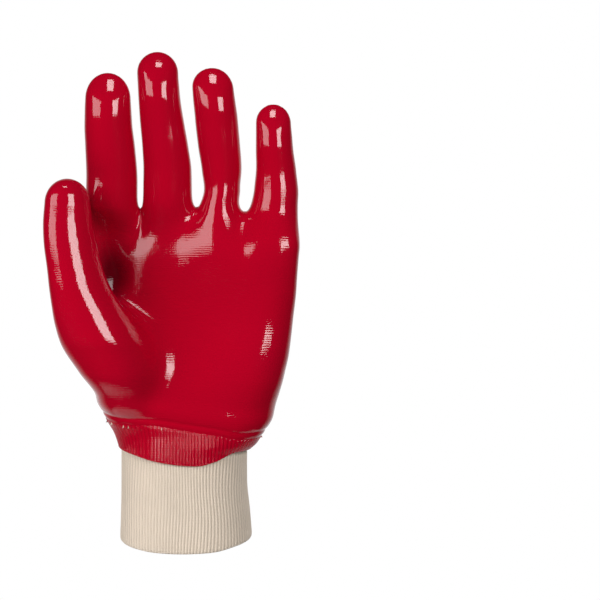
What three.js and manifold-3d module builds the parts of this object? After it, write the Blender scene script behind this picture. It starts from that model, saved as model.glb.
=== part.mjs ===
// A dipped work glove for the left hand, palm towards -Y, thumb towards -X, fingers up.
// A cotton liner and its glossy coat are one skin with five stalls. The skin runs down over
// the top of a rib-knit cuff and ends in a wavy dip line. The origin is the middle of the
// cuff's opening, level with the lowest part of its folded rim.

import * as THREE from 'three';
import Module from 'manifold-3d';

const wasm = await Module();
wasm.setup();

// Lengths, millimetres
const cuffLength = 70.6; // folded rim to the wrist seam
const palmLength = 111; // wrist seam to the webs of the fingers
const skirtLength = 20; // coat below the wrist seam, over the cuff
const thumbLength = 124.5; // wrist seam to the thumb's tip
const indexLength = 69.1; // each finger from the webs to its tip
const middleLength = 80;
const ringLength = 71.7;
const littleLength = 52.7;

// Widths and depths over the coat, millimetres
const palmWidth = 109.4;
const palmDepth = 53;
const cuffWidth = 68.5;
const cuffDepth = 55;
const thumbWidth = 27;
const thumbDepth = 27;
const indexWidth = 26;
const indexDepth = 24;
const middleWidth = 24.4;
const middleDepth = 24;
const ringWidth = 22;
const ringDepth = 23;
const littleWidth = 20.5;
const littleDepth = 21;

// Room between neighbouring stalls at the webs, millimetres
const indexMiddleRoom = 3.1;
const middleRingRoom = 5;
const ringLittleRoom = 7;

// Walls and clearances, millimetres
const coatWall = 1.6; // liner and coat over the hand
const skirtWall = 1; // coat alone, over the cuff
const knitWall = 2.2; // cuff fabric, folded double
const cuffGap = 0.3; // cuff to the coat around it
const seamMargin = 2.5; // top of the cuff to the wrist seam

// How finely the solids are faceted: sizes in millimetres, and sides round the wrist
const outerFacet = 5.5;
const innerFacet = 6.5;
const cuffSides = 44;
const dipLineSides = 60;

// Stall tables. Columns: at = height above the webs; aside = sideways drift of the middle
// from the root; fore = the middle's place front to back; width = share of the stall's width;
// front, back = depth to each side of the middle, shares of the stall's depth. The first three
// are shares of the stall's length above the webs and of the palm's length below them.
const indexRows = [
  [-0.358, 0.048, -0.009, 1.1, 0.58, 0.5],
  [-0.167, 0.016, -0.009, 1.12, 0.6, 0.55],
  [0, 0, -0.014, 1.05, 0.54, 0.54],
  [0.214, -0.005, -0.022, 1.037, 0.52, 0.52],
  [0.442, -0.015, -0.036, 1.006, 0.5, 0.5],
  [0.624, -0.026, -0.051, 0.963, 0.48, 0.48],
  [0.811, -0.025, -0.072, 0.912, 0.46, 0.46],
];
const middleRows = [
  [-0.358, 0.024, -0.009, 1.132, 0.58, 0.52],
  [-0.167, 0.01, -0.005, 1.131, 0.6, 0.575],
  [0.026, -0.002, -0.006, 1.059, 0.54, 0.54],
  [0.224, -0.015, -0.012, 1.04, 0.52, 0.52],
  [0.382, -0.027, -0.025, 0.995, 0.5, 0.5],
  [0.539, -0.046, -0.037, 0.95, 0.48, 0.48],
  [0.695, -0.062, -0.05, 0.904, 0.467, 0.467],
  [0.87, -0.071, -0.062, 0.881, 0.46, 0.46],
];
const ringRows = [
  [-0.358, -0.018, -0.009, 1.207, 0.61, 0.54],
  [-0.167, -0.008, -0.005, 1.181, 0.617, 0.6],
  [0, 0, -0.007, 0.867, 0.557, 0.557],
  [0.118, 0.004, -0.007, 0.847, 0.535, 0.535],
  [0.25, 0.002, -0.014, 0.942, 0.522, 0.522],
  [0.426, -0.015, -0.028, 1.007, 0.51, 0.51],
  [0.601, -0.032, -0.042, 1.024, 0.487, 0.487],
  [0.775, -0.05, -0.063, 1.003, 0.48, 0.48],
  [0.862, -0.059, -0.07, 0.982, 0.478, 0.478],
];
const littleRows = [
  [-0.358, -0.06, -0.018, 1.345, 0.667, 0.524],
  [-0.167, -0.031, -0.018, 1.292, 0.643, 0.571],
  [0, 0, -0.038, 1.135, 0.571, 0.571],
  [0.16, 0.013, -0.047, 1.092, 0.538, 0.538],
  [0.34, 0.014, -0.057, 1.019, 0.5, 0.5],
  [0.579, 0.003, -0.076, 0.955, 0.476, 0.476],
  [0.826, -0.007, -0.095, 0.892, 0.452, 0.452],
];

// The thumb's table has the same columns, with at counted from the wrist seam.
const thumbRows = [
  [0, 0, -0.064, 0.863, 0.593, 0.519],
  [0.09, -0.025, -0.104, 1.013, 0.63, 0.593],
  [0.202, -0.069, -0.157, 1.351, 0.759, 0.741],
  [0.312, -0.116, -0.209, 1.504, 0.759, 0.815],
  [0.398, -0.145, -0.249, 1.425, 0.704, 0.741],
  [0.483, -0.173, -0.281, 1.266, 0.63, 0.63],
  [0.565, -0.2, -0.289, 1.101, 0.574, 0.556],
  [0.639, -0.217, -0.285, 1.018, 0.537, 0.519],
  [0.745, -0.237, -0.273, 0.966, 0.5, 0.481],
  [0.834, -0.248, -0.261, 0.899, 0.463, 0.463],
  [0.9, -0.251, -0.249, 0.844, 0.426, 0.444],
];

// Palm table. Columns: at = share of the palm's length above the wrist seam; left, right =
// shares of the palm's width; front, back = shares of the palm's depth.
const palmRows = [
  [-0.019, -0.386, 0.4, 0.506, 0.494],
  [0.039, -0.405, 0.423, 0.5, 0.481],
  [0.096, -0.42, 0.441, 0.481, 0.472],
  [0.183, -0.454, 0.463, 0.453, 0.453],
  [0.304, -0.463, 0.489, 0.425, 0.425],
  [0.448, -0.457, 0.505, 0.387, 0.396],
  [0.593, -0.463, 0.517, 0.349, 0.368],
  [0.713, -0.467, 0.526, 0.311, 0.321],
  [0.809, -0.468, 0.531, 0.255, 0.274],
  [0.904, -0.47, 0.528, 0.198, 0.226],
  [1, -0.467, 0.518, 0.151, 0.17],
];

// Wrist table. Columns: at = share of the cuff's length above its rim; left, right = shares
// of the cuff's width; front, back = shares of the cuff's depth.
const wristRows = [
  [0.028, -0.536, 0.52, 0.514, 0.514],
  [0.258, -0.527, 0.501, 0.505, 0.505],
  [0.489, -0.522, 0.479, 0.497, 0.497],
  [0.718, -0.52, 0.479, 0.5, 0.5],
  [0.786, -0.527, 0.54, 0.498, 0.498],
  [0.878, -0.559, 0.597, 0.487, 0.484],
];

// Lines round the wrist. Columns: turn = degrees from the little finger's side through the
// back; rim = height of the rim, share of the cuff's length; dip = drop of the dip line below
// the seam, share of the skirt's length; seam = height of the seam, share of the cuff's length.
const wristLines = [
  [0, 0.07, 0.905, 0.89],
  [45, 0.03, 0.855, 0.88],
  [90, 0.006, 0.89, 0.99],
  [135, 0.014, 0.85, 1.04],
  [180, 0.057, 0.83, 1.034],
  [215, 0.025, 0.925, 1.01],
  [240, 0.006, 1.09, 1.003],
  [270, 0, 1.2, 0.97],
  [300, 0.006, 1.12, 0.935],
  [325, 0.035, 0.89, 0.89],
  [360, 0.07, 0.905, 0.89],
];

// Swellings and dents of the palm and back. Columns: across, rx, height = shares of the palm's
// width; deep, ry = shares of its depth; at, rz = shares of its length above the wrist seam;
// lean = degrees that the long axis tips towards the little finger. A dent's height is negative.
const swellings = [
  // hollow of the palm, little finger's side pad, crease round the thumb's pad
  [0.012, -0.415, 0.557, 0.183, 0.264, 0.216, 0, -0.029],
  [0.37, -0.302, 0.412, 0.146, 0.264, 0.27, 5, 0.015],
  [-0.205, -0.453, 0.348, 0.037, 0.226, 0.198, -22, -0.015],
  // knuckles
  [-0.371, 0.283, 0.898, 0.082, 0.189, 0.081, 0, 0.015],
  [-0.09, 0.302, 0.917, 0.082, 0.189, 0.081, 0, 0.016],
  [0.162, 0.302, 0.898, 0.082, 0.189, 0.081, 0, 0.015],
  [0.394, 0.264, 0.84, 0.073, 0.189, 0.072, 0, 0.013],
  // valleys between the knuckles
  [-0.234, 0.302, 0.829, 0.037, 0.151, 0.144, -4, -0.013],
  [0.038, 0.302, 0.829, 0.037, 0.151, 0.144, 0, -0.013],
  [0.285, 0.302, 0.79, 0.037, 0.151, 0.144, 4, -0.013],
  // valleys below the webs, palm side
  [-0.205, -0.302, 0.874, 0.037, 0.151, 0.081, -4, -0.012],
  [0.057, -0.302, 0.883, 0.037, 0.151, 0.081, 0, -0.012],
  [0.3, -0.302, 0.846, 0.037, 0.151, 0.099, 4, -0.012],
];

// How far one form runs into the next, millimetres
const stallBlend = 9; // finger into palm
const thumbBlend = 17; // thumb into palm
const webBlend = 3; // finger into finger
const seamBulge = 1.3; // the coat's swell above the wrist seam
const seamBulgeHeight = 5;

const palmSquareness = 2.3; // 2 is an ellipse, more is squarer
const wallFade = [0.9, 1.1]; // shares of the cuff's length where the wall goes thin to thick

// Rounded tips, shares of each stall's width
const indexTip = 0.5;
const middleTip = 0.45;
const ringTip = 0.484;
const littleTip = 0.467;
const thumbTip = 0.473;

// Where each form begins and ends inside its neighbours: heights above the wrist seam and the
// lengths of the rounded ends, shares of the palm's length for the palm and fingers and of the
// thumb's for the thumb; thumbRootAside is a share of the palm's width
const stallFoot = 0.4;
const stallFootCap = 0.27;
const palmEnd = 0.958;
const palmEndCap = 0.077;
const thumbFoot = -0.107;
const thumbFootCap = 0.209;
const thumbRootAside = -0.251;

const webHeight = cuffLength + palmLength;

/** Smooth curves through the columns of a table, with no overshoot between its rows. */
function smoothTable(rows) {
  const at = rows.map((row) => row[0]);
  const last = rows.length - 1;
  const steps = at.slice(1).map((value, i) => value - at[i]);
  const columns = rows[0].slice(1).map((_, c) => rows.map((row) => row[c + 1]));
  const slopes = columns.map((y) => {
    const rise = steps.map((step, i) => (y[i + 1] - y[i]) / step);
    return y.map((_, i) => {
      if (i === 0 || i === last) return rise[Math.min(i, last - 1)];
      if (rise[i - 1] * rise[i] <= 0) return 0;
      const near = 2 * steps[i] + steps[i - 1];
      const far = steps[i] + 2 * steps[i - 1];
      return (near + far) / (near / rise[i - 1] + far / rise[i]);
    });
  });
  return (value) => {
    const v = Math.min(Math.max(value, at[0]), at[last]);
    let i = 0;
    while (i < last - 1 && v > at[i + 1]) i += 1;
    const h = steps[i];
    const s = (v - at[i]) / h;
    return columns.map((y, c) => {
      const m = slopes[c];
      const start = (1 + 2 * s) * (1 - s) ** 2 * y[i] + s * (1 - s) ** 2 * h * m[i];
      const end = s * s * (3 - 2 * s) * y[i + 1] + s * s * (s - 1) * h * m[i + 1];
      return start + end;
    });
  };
}

/**
 * Distance to a limb: elliptical sections stacked in z, each with a middle, a half width and
 * a half depth to the front and to the back, closed by a rounded cap at the top and, where
 * foot is given, one at the bottom. Negative inside.
 */
function limb(section, top, cap, foot = -Infinity, footCap = 1, squareness = 2) {
  const n = squareness;
  return (x, y, z) => {
    const [cx, halfWidth, cy, front, back] = section(z);
    const halfDepth = y < cy ? front : back;
    const above = Math.max(z - (top - cap), 0) / cap;
    const below = Math.max(foot + footCap - z, 0) / footCap;
    const u = Math.abs(x - cx) / halfWidth;
    const v = Math.abs(y - cy) / halfDepth;
    const w = above + below;
    const r = Math.max((u ** n + v ** n + w ** n) ** (1 / n), 0.001);
    const capLength = below > 0 ? footCap : cap;
    const steep = Math.hypot(
      u ** (n - 1) / halfWidth,
      v ** (n - 1) / halfDepth,
      w ** (n - 1) / capLength,
    ) / r ** (n - 1);
    return (r - 1) / Math.max(steep, 0.5 / Math.max(halfWidth, halfDepth));
  };
}

/** Union of two forms with a soft fillet of about the given size. */
function blend(a, b, size) {
  const h = Math.max(size - Math.abs(a - b), 0) / size;
  return Math.min(a, b) - (h ** 3 * size) / 6;
}

// The row of stalls is centred on the palm's top, each beside the last.
const [, webLeft, webRight] = palmRows[palmRows.length - 1];
const stalls = [
  { rows: indexRows, length: indexLength, width: indexWidth, depth: indexDepth, tip: indexTip },
  { rows: middleRows, length: middleLength, width: middleWidth, depth: middleDepth, tip: middleTip },
  { rows: ringRows, length: ringLength, width: ringWidth, depth: ringDepth, tip: ringTip },
  { rows: littleRows, length: littleLength, width: littleWidth, depth: littleDepth, tip: littleTip },
];
const rooms = [indexMiddleRoom, middleRingRoom, ringLittleRoom];
for (const stall of stalls) {
  stall.rootWidth = stall.width * stall.rows[2][3];
}
const rowWidth = stalls.reduce((sum, stall) => sum + stall.rootWidth, 0)
  + rooms.reduce((sum, room) => sum + room, 0);
const rowMiddle = (palmWidth * (webLeft + webRight)) / 2;
let edge = rowMiddle - rowWidth / 2;
stalls.forEach((stall, k) => {
  stall.root = edge + stall.rootWidth / 2;
  edge += stall.rootWidth + (rooms[k] ?? 0);
  stall.section = smoothTable(stall.rows.map(([at, aside, fore, width, front, back]) => {
    const unit = at < 0 ? palmLength : stall.length;
    return [
      webHeight + at * unit,
      stall.root + aside * unit,
      (width * stall.width) / 2,
      fore * unit,
      front * stall.depth,
      back * stall.depth,
    ];
  }));
  stall.distance = limb(
    stall.section,
    webHeight + stall.length,
    stall.tip * stall.width,
    cuffLength + stallFoot * palmLength,
    stallFootCap * palmLength,
  );
});

const thumbRoot = thumbRootAside * palmWidth;
const thumbSection = smoothTable(thumbRows.map(([at, aside, fore, width, front, back]) => [
  cuffLength + at * thumbLength,
  thumbRoot + aside * thumbLength,
  (width * thumbWidth) / 2,
  fore * thumbLength,
  front * thumbDepth,
  back * thumbDepth,
]));
const thumbDistance = limb(
  thumbSection,
  cuffLength + thumbLength,
  thumbTip * thumbWidth,
  cuffLength + thumbFoot * thumbLength,
  thumbFootCap * thumbLength,
);

const bodyRow = (at, left, right, front, back) => {
  return [at, (left + right) / 2, (right - left) / 2, 0, front, back];
};
const bodySection = smoothTable([
  ...wristRows.map(([at, left, right, front, back]) => bodyRow(
    at * cuffLength, left * cuffWidth, right * cuffWidth, front * cuffDepth, back * cuffDepth,
  )),
  ...palmRows.map(([at, left, right, front, back]) => bodyRow(
    cuffLength + at * palmLength,
    left * palmWidth,
    right * palmWidth,
    front * palmDepth,
    back * palmDepth,
  )),
]);
const palmDistance = limb(
  bodySection,
  cuffLength + palmEnd * palmLength,
  palmEndCap * palmLength,
  undefined,
  undefined,
  palmSquareness,
);

const lineShares = smoothTable(wristLines);

/** Heights of rim, dip line and seam on the ray from the wrist's middle through (x, y). */
function wristHeights(x, y) {
  const turn = (Math.atan2(y, x) * 180 / Math.PI + 360) % 360;
  const [rim, dip, seam] = lineShares(turn);
  return [rim * cuffLength, cuffLength - dip * skirtLength, seam * cuffLength];
}

/** How far the swellings and dents push the skin out at a point. */
function swell(x, y, z) {
  let out = 0;
  for (const [across, deep, at, rx, ry, rz, lean, height] of swellings) {
    const angle = lean * Math.PI / 180;
    const dx = x - across * palmWidth;
    const dz = z - cuffLength - at * palmLength;
    const u = (dx * Math.cos(angle) - dz * Math.sin(angle)) / (rx * palmWidth);
    const v = (y - deep * palmDepth) / (ry * palmDepth);
    const w = (dx * Math.sin(angle) + dz * Math.cos(angle)) / (rz * palmLength);
    out += height * palmWidth * Math.exp(-u * u - v * v - w * w);
  }
  const aboveSeam = (z - wristHeights(x, y)[2] - seamBulgeHeight) / seamBulgeHeight;
  return out + seamBulge * Math.exp(-aboveSeam * aboveSeam);
}

/** Distance to the outside of the coat. */
function coatDistance(x, y, z) {
  const palm = palmDistance(x, y, z);
  let hand = Infinity;
  for (const stall of stalls) {
    const withPalm = blend(palm, stall.distance(x, y, z), stallBlend);
    hand = hand === Infinity ? withPalm : blend(hand, withPalm, webBlend);
  }
  return blend(hand, thumbDistance(x, y, z), thumbBlend) - swell(x, y, z);
}

/** Distance to the inside of the skin, whose wall thins where it runs over the cuff. */
function hollowDistance(x, y, z) {
  const share = THREE.MathUtils.smoothstep(z, ...wallFade.map((at) => at * cuffLength));
  return coatDistance(x, y, z) + THREE.MathUtils.lerp(skirtWall, coatWall, share);
}

// How far the thumb reaches to the left and to the front
const thumbLeft = Math.min(...thumbRows.map(([, aside, , width]) => (
  thumbRoot + aside * thumbLength - (width * thumbWidth) / 2
)));
const thumbFront = Math.min(...thumbRows.map(([, , fore, , front]) => (
  fore * thumbLength - front * thumbDepth
)));

/**
 * Places across the hand at a height, where the skin lies the given wall inside the coat. Two
 * of them lie in the gap between each two stalls, so that no facet bridges a gap.
 */
function acrossLines(facet, wall) {
  const clear = 0.35; // share of a gap from its middle to each of its two places
  const marksAt = (z) => {
    const sides = stalls.map((stall) => {
      const [cx, halfWidth] = stall.section(Math.max(z, webHeight));
      return [cx - halfWidth, cx + halfWidth];
    });
    const gaps = sides.slice(1).flatMap(([left], k) => {
      const right = sides[k][1];
      const reach = clear * (left - right + 2 * wall);
      return [(left + right) / 2 - reach, (left + right) / 2 + reach];
    });
    const low = Math.min(thumbLeft, webLeft * palmWidth);
    const high = Math.max(webRight * palmWidth, sides[sides.length - 1][1]);
    return [low - facet, ...gaps, high + facet];
  };
  const home = marksAt(webHeight);
  const counts = home.slice(1).map((mark, k) => (
    k % 2 === 1 ? 1 : Math.ceil((mark - home[k]) / facet)
  ));
  return (z) => {
    const marks = marksAt(z);
    const lines = counts.flatMap((count, k) => Array.from({ length: count }, (_, i) => (
      THREE.MathUtils.lerp(marks[k], marks[k + 1], i / count)
    )));
    return [...lines, marks[marks.length - 1]];
  };
}

/** Evenly spaced values from low to high, no further apart than step. */
function spread(low, high, step) {
  const count = Math.ceil((high - low) / step);
  return Array.from({ length: count + 1 }, (_, i) => low + ((high - low) * i) / count);
}

/** Moves a point on to the surface where distance is nought, along the distance's slope. */
function settle(distance, point) {
  const h = 0.2;
  for (let pass = 0; pass < 4; pass += 1) {
    const [x, y, z] = point;
    const value = distance(x, y, z);
    const slope = [
      (distance(x + h, y, z) - distance(x - h, y, z)) / (2 * h),
      (distance(x, y + h, z) - distance(x, y - h, z)) / (2 * h),
      (distance(x, y, z + h) - distance(x, y, z - h)) / (2 * h),
    ];
    const square = Math.max(slope[0] ** 2 + slope[1] ** 2 + slope[2] ** 2, 0.05);
    const move = THREE.MathUtils.clamp(value / square, -1, 1);
    point.forEach((_, axis) => {
      point[axis] -= move * slope[axis];
    });
  }
  return point;
}

/**
 * Fills the few samples that would let two parts of the surface touch along one edge: where
 * the corners of a face are inside and outside by turns, the nearer outside one is filled.
 */
function fillPinches(values, size, slot) {
  const faceSides = [[[1, 0, 0], [0, 1, 0]], [[0, 1, 0], [0, 0, 1]], [[1, 0, 0], [0, 0, 1]]];
  const justInside = -0.001;
  let changed = true;
  while (changed) {
    changed = false;
    for (let k = 0; k + 1 < size[2]; k += 1) {
      for (let j = 0; j + 1 < size[1]; j += 1) {
        for (let i = 0; i + 1 < size[0]; i += 1) {
          for (const [p, q] of faceSides) {
            const a = slot(i, j, k);
            const b = slot(i + p[0], j + p[1], k + p[2]);
            const c = slot(i + p[0] + q[0], j + p[1] + q[1], k + p[2] + q[2]);
            const d = slot(i + q[0], j + q[1], k + q[2]);
            const [ia, ib, ic, id] = [a, b, c, d].map((corner) => values[corner] < 0);
            if (ia === ic && ib === id && ia !== ib) {
              const outside = ia ? [b, d] : [a, c];
              outside.sort((first, second) => values[first] - values[second]);
              values[outside[0]] = justInside;
              changed = true;
            }
          }
        }
      }
    }
  }
}

/**
 * The closed surface where distance is nought, above a floor. The space is cut into cells.
 * Each cell that the surface passes through gets one point, the mean of the places where the
 * surface crosses its edges, moved on to the surface. Each crossed edge gets a face between
 * the points of the four cells round it.
 */
function skinSolid(distance, wall, facet, floor) {
  const linesAt = acrossLines(facet, wall);
  const zs = spread(floor, webHeight + middleLength + facet, facet);
  const backReach = Math.max(palmDepth, cuffDepth) / 2;
  const ys = spread(thumbFront - facet, backReach + facet, facet);
  const xs = zs.map(linesAt);
  const size = [xs[0].length, ys.length, zs.length];
  const place = (i, j, k) => [xs[k][i], ys[j], zs[k]];
  const slot = (i, j, k) => (k * size[1] + j) * size[0] + i;
  const values = new Float64Array(size[0] * size[1] * size[2]);
  for (let k = 0; k < size[2]; k += 1) {
    for (let j = 0; j < size[1]; j += 1) {
      for (let i = 0; i < size[0]; i += 1) {
        values[slot(i, j, k)] = k === 0 ? 1 : distance(...place(i, j, k));
      }
    }
  }
  fillPinches(values, size, slot);

  const points = [];
  const pointOf = new Map();
  const corners = Array.from({ length: 8 }, (_, c) => [c & 1, (c >> 1) & 1, c >> 2]);
  const edges = corners.flatMap((a, m) => corners.slice(m + 1)
    .filter((b) => Math.abs(a[0] - b[0]) + Math.abs(a[1] - b[1]) + Math.abs(a[2] - b[2]) === 1)
    .map((b) => [a, b]));
  for (let k = 0; k + 1 < size[2]; k += 1) {
    for (let j = 0; j + 1 < size[1]; j += 1) {
      for (let i = 0; i + 1 < size[0]; i += 1) {
        const sum = new THREE.Vector3();
        let count = 0;
        for (const [a, b] of edges) {
          const from = values[slot(i + a[0], j + a[1], k + a[2])];
          const to = values[slot(i + b[0], j + b[1], k + b[2])];
          if (from < 0 !== to < 0) {
            const start = new THREE.Vector3(...place(i + a[0], j + a[1], k + a[2]));
            const end = new THREE.Vector3(...place(i + b[0], j + b[1], k + b[2]));
            sum.add(start.lerp(end, from / (from - to)));
            count += 1;
          }
        }
        if (count > 0) {
          pointOf.set(slot(i, j, k), points.length / 3);
          const mean = sum.divideScalar(count).toArray();
          points.push(...(k === 0 ? mean : settle(distance, mean)));
        }
      }
    }
  }

  const triangles = [];
  for (let k = 0; k < size[2]; k += 1) {
    for (let j = 0; j < size[1]; j += 1) {
      for (let i = 0; i < size[0]; i += 1) {
        for (let axis = 0; axis < 3; axis += 1) {
          const next = [i, j, k];
          next[axis] += 1;
          if (next[axis] >= size[axis]) continue;
          const inside = values[slot(i, j, k)] < 0;
          if (inside === values[slot(...next)] < 0) continue;
          const ring = [[0, 0], [1, 0], [1, 1], [0, 1]].map(([p, q]) => {
            const cell = [i, j, k];
            cell[(axis + 1) % 3] -= p;
            cell[(axis + 2) % 3] -= q;
            return pointOf.get(slot(...cell));
          });
          const [a, b, c, d] = inside ? ring : ring.reverse();
          triangles.push(a, b, c, a, c, d);
        }
      }
    }
  }
  return solid(points, triangles);
}

/** A closed mesh as a solid that can be cut and joined. */
function solid(points, triangles) {
  return new wasm.Manifold(new wasm.Mesh({
    numProp: 3,
    vertProperties: new Float32Array(points),
    triVerts: new Uint32Array(triangles),
  }));
}

/** Triangles of a grid of rings, each joined to the next, and the last to the first if closed. */
function ringTriangles(rings, sides, closed) {
  const triangles = [];
  const last = closed ? rings : rings - 1;
  for (let r = 0; r < last; r += 1) {
    for (let s = 0; s < sides; s += 1) {
      const a = r * sides + s;
      const b = r * sides + ((s + 1) % sides);
      const c = ((r + 1) % rings) * sides + ((s + 1) % sides);
      const d = ((r + 1) % rings) * sides + s;
      triangles.push(a, c, b, a, d, c);
    }
  }
  return triangles;
}

/** Everything below the dip line: a drum whose top follows the line along each ray. */
function belowDipLine() {
  const sides = dipLineSides;
  const withinHollow = 0.1 * palmWidth;
  const radii = [withinHollow, palmWidth, palmWidth, withinHollow];
  const points = [];
  radii.forEach((radius, r) => {
    for (let s = 0; s < sides; s += 1) {
      const turn = (s / sides) * 2 * Math.PI;
      const x = radius * Math.cos(turn);
      const y = radius * Math.sin(turn);
      points.push(x, y, r < 2 ? wristHeights(x, y)[1] : 0);
    }
  });
  const triangles = ringTriangles(radii.length, sides, false);
  const topMiddle = points.length / 3;
  points.push(0, 0, cuffLength - skirtLength, 0, 0, 0);
  for (let s = 0; s < sides; s += 1) {
    const t = (s + 1) % sides;
    const lastRing = (radii.length - 1) * sides;
    triangles.push(topMiddle, s, t, topMiddle + 1, lastRing + t, lastRing + s);
  }
  return solid(points, triangles);
}

/** The coated hand: outside less hollow, trimmed at the dip line. */
function coatedHand() {
  const lowestDip = cuffLength - Math.max(...wristLines.map(([, , dip]) => dip)) * skirtLength;
  const outsideFloor = lowestDip - 1.5 * outerFacet;
  const hollowFloor = outsideFloor - 1.5 * innerFacet;
  const outside = skinSolid(coatDistance, 0, outerFacet, outsideFloor);
  const hollow = skinSolid(hollowDistance, coatWall, innerFacet, hollowFloor);
  return outside.subtract(hollow).subtract(belowDipLine());
}

/**
 * The knit cuff: a closed profile carried round the wrist. It runs down the outside, round the
 * folded rim and up the inside, and its top lies under the coat, just short of the seam.
 */
function knitCuff() {
  const inset = skirtWall + cuffGap;
  const fold = knitWall / 2;
  const heights = [1, 0.85, 0.66, 0.45, 0.22, 0.04];
  const foldTurns = [0.25, 0.5, 0.75].map((share) => share * Math.PI);
  const profile = [
    ...heights.map((share) => [share, 0, 0]),
    ...foldTurns.map((turn) => [0, fold * (1 - Math.sin(turn)), fold * (1 - Math.cos(turn))]),
    ...heights.reverse().map((share) => [share, 0, knitWall]),
  ];
  const points = [];
  for (const [share, rise, inward] of profile) {
    for (let s = 0; s < cuffSides; s += 1) {
      const turn = (s / cuffSides) * 2 * Math.PI;
      const side = [Math.cos(turn), Math.sin(turn)];
      const [rim, , seam] = wristHeights(...side);
      const z = THREE.MathUtils.lerp(rim, seam - seamMargin, share) + rise;
      const [cx, halfWidth, cy, front, back] = bodySection(z);
      const halfDepth = side[1] < 0 ? front : back;
      const a = halfWidth - inset - inward;
      const b = halfDepth - inset - inward;
      const n = palmSquareness;
      const r = (Math.abs(side[0] / a) ** n + Math.abs(side[1] / b) ** n) ** (-1 / n);
      points.push(cx + r * side[0], cy + r * side[1], z);
    }
  }
  return solid(points, ringTriangles(profile.length, cuffSides, true));
}

/** A solid as a named mesh with its own material. */
function piece(name, body, color, roughness) {
  const { vertProperties, triVerts } = body.getMesh();
  const geometry = new THREE.BufferGeometry();
  geometry.setAttribute('position', new THREE.BufferAttribute(vertProperties, 3));
  geometry.setIndex(new THREE.BufferAttribute(triVerts, 1));
  const flat = geometry.toNonIndexed();
  flat.computeVertexNormals();
  const material = new THREE.MeshStandardMaterial({ color, roughness, metalness: 0 });
  const mesh = new THREE.Mesh(flat, material);
  mesh.name = name;
  return mesh;
}

const glove = new THREE.Group();
glove.add(piece('coated_hand', coatedHand(), 0xc00020, 0.15));
glove.add(piece('knit_cuff', knitCuff(), 0xe4dccb, 0.95));
export default glove;
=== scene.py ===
"""A left-hand work glove: a knit liner dipped in glossy red PVC, on a cream rib-knit cuff.

The script follows the glove as it is put together. Each section holds one piece's sizes,
colours, mesh and material. Lengths are millimetres until a mesh is made, then metres.
"""

from math import cos, pi, radians, sin

import bpy
import numpy as np
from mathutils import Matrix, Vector


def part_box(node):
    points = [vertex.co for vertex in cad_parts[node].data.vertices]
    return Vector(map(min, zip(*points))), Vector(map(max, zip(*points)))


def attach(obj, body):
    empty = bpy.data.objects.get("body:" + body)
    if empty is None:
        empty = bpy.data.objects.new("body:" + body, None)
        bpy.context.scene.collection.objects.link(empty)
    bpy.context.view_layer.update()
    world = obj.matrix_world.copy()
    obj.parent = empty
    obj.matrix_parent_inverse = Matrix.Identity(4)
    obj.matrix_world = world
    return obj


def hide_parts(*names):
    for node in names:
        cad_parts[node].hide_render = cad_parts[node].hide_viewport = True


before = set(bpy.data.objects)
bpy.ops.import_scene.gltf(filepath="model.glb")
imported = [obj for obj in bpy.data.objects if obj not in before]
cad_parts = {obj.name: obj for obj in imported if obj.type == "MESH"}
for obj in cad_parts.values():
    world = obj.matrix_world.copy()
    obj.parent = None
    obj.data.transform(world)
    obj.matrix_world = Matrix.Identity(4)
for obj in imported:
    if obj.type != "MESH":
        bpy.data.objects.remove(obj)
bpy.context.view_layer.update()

# CAMERA
# It looks at the palm from slightly above, as the photograph does. The glove stands to the
# left of the frame's middle, where the photograph has it.
mm = 0.001
photo_side = 600  # pixels of the photograph
pixel = 0.532  # millimetres at the glove's middle plane for one pixel
origin_pixel = (186.5, 546.4)  # the middle of the cuff's opening in the photograph
camera_distance = 850
camera_elevation = radians(3.5)

aim = Vector((photo_side / 2 - origin_pixel[0], 0, origin_pixel[1] - photo_side / 2)) * pixel
camera_data = bpy.data.cameras.new("camera")
camera_data.sensor_width = 36
camera_data.lens = camera_data.sensor_width * camera_distance / (photo_side * pixel)
camera_data.clip_start = 0.01
camera = bpy.data.objects.new("camera", camera_data)
towards_camera = Vector((0, -cos(camera_elevation), sin(camera_elevation)))
camera.location = (aim + towards_camera * camera_distance) * mm
camera.rotation_euler = (-towards_camera).to_track_quat("-Z", "Y").to_euler()
bpy.context.scene.collection.objects.link(camera)
bpy.context.scene.camera = camera


# RIB-KNIT CUFF
# An elastic tube of natural cotton rib, knitted double and folded over at the rim. Its top
# is sewn to the liner at the wrist seam, under the coat.
cuff_length = 70.6  # rim to wrist seam
cuff_width = 68.5  # over the coat that runs down on to the cuff
cuff_depth = 55
palm_length = 111  # wrist seam to the webs
palm_width = 109.4
palm_depth = 53
skirt_length = 20  # coat below the wrist seam
knit_wall = 2.2
rib_count = 107
rib_relief = 0.24
rib_samples = 6
course_pitch = 0.85
cuff_under_coat = 0.75  # how far the cuff's face lies inside the coat's
cuff_top_gap = 2.5  # its top to the wrist seam
cuff_levels = 60  # rings of points from its top to the rim
lowest_level = 0.02  # share of its height where the outside turns into the rim's fold
rim_levels = 9
rim_rise = 0.84  # how far the fold's two sides stand over its lowest point
rim_curl = 0.72  # how far the outside curls up at the very rim
rim_curl_power = 12
rib_slant = 0.55  # how far the ribs slant on their way down, in ribs
rib_slant_side = 0.9  # radians
rib_waver = 0.25  # in ribs
rib_waver_height = 9
coat_squeeze = 0.6  # how much narrower it is under the coat, and again at the seam
seam_squeeze = 0.7
squeeze_height = 4
cotton = (0.90, 0.765, 0.625)
# cotton_shade is painted shade for the knit's holes and grooves
cotton_shade = (0.40, 0.29, 0.18)

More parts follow.
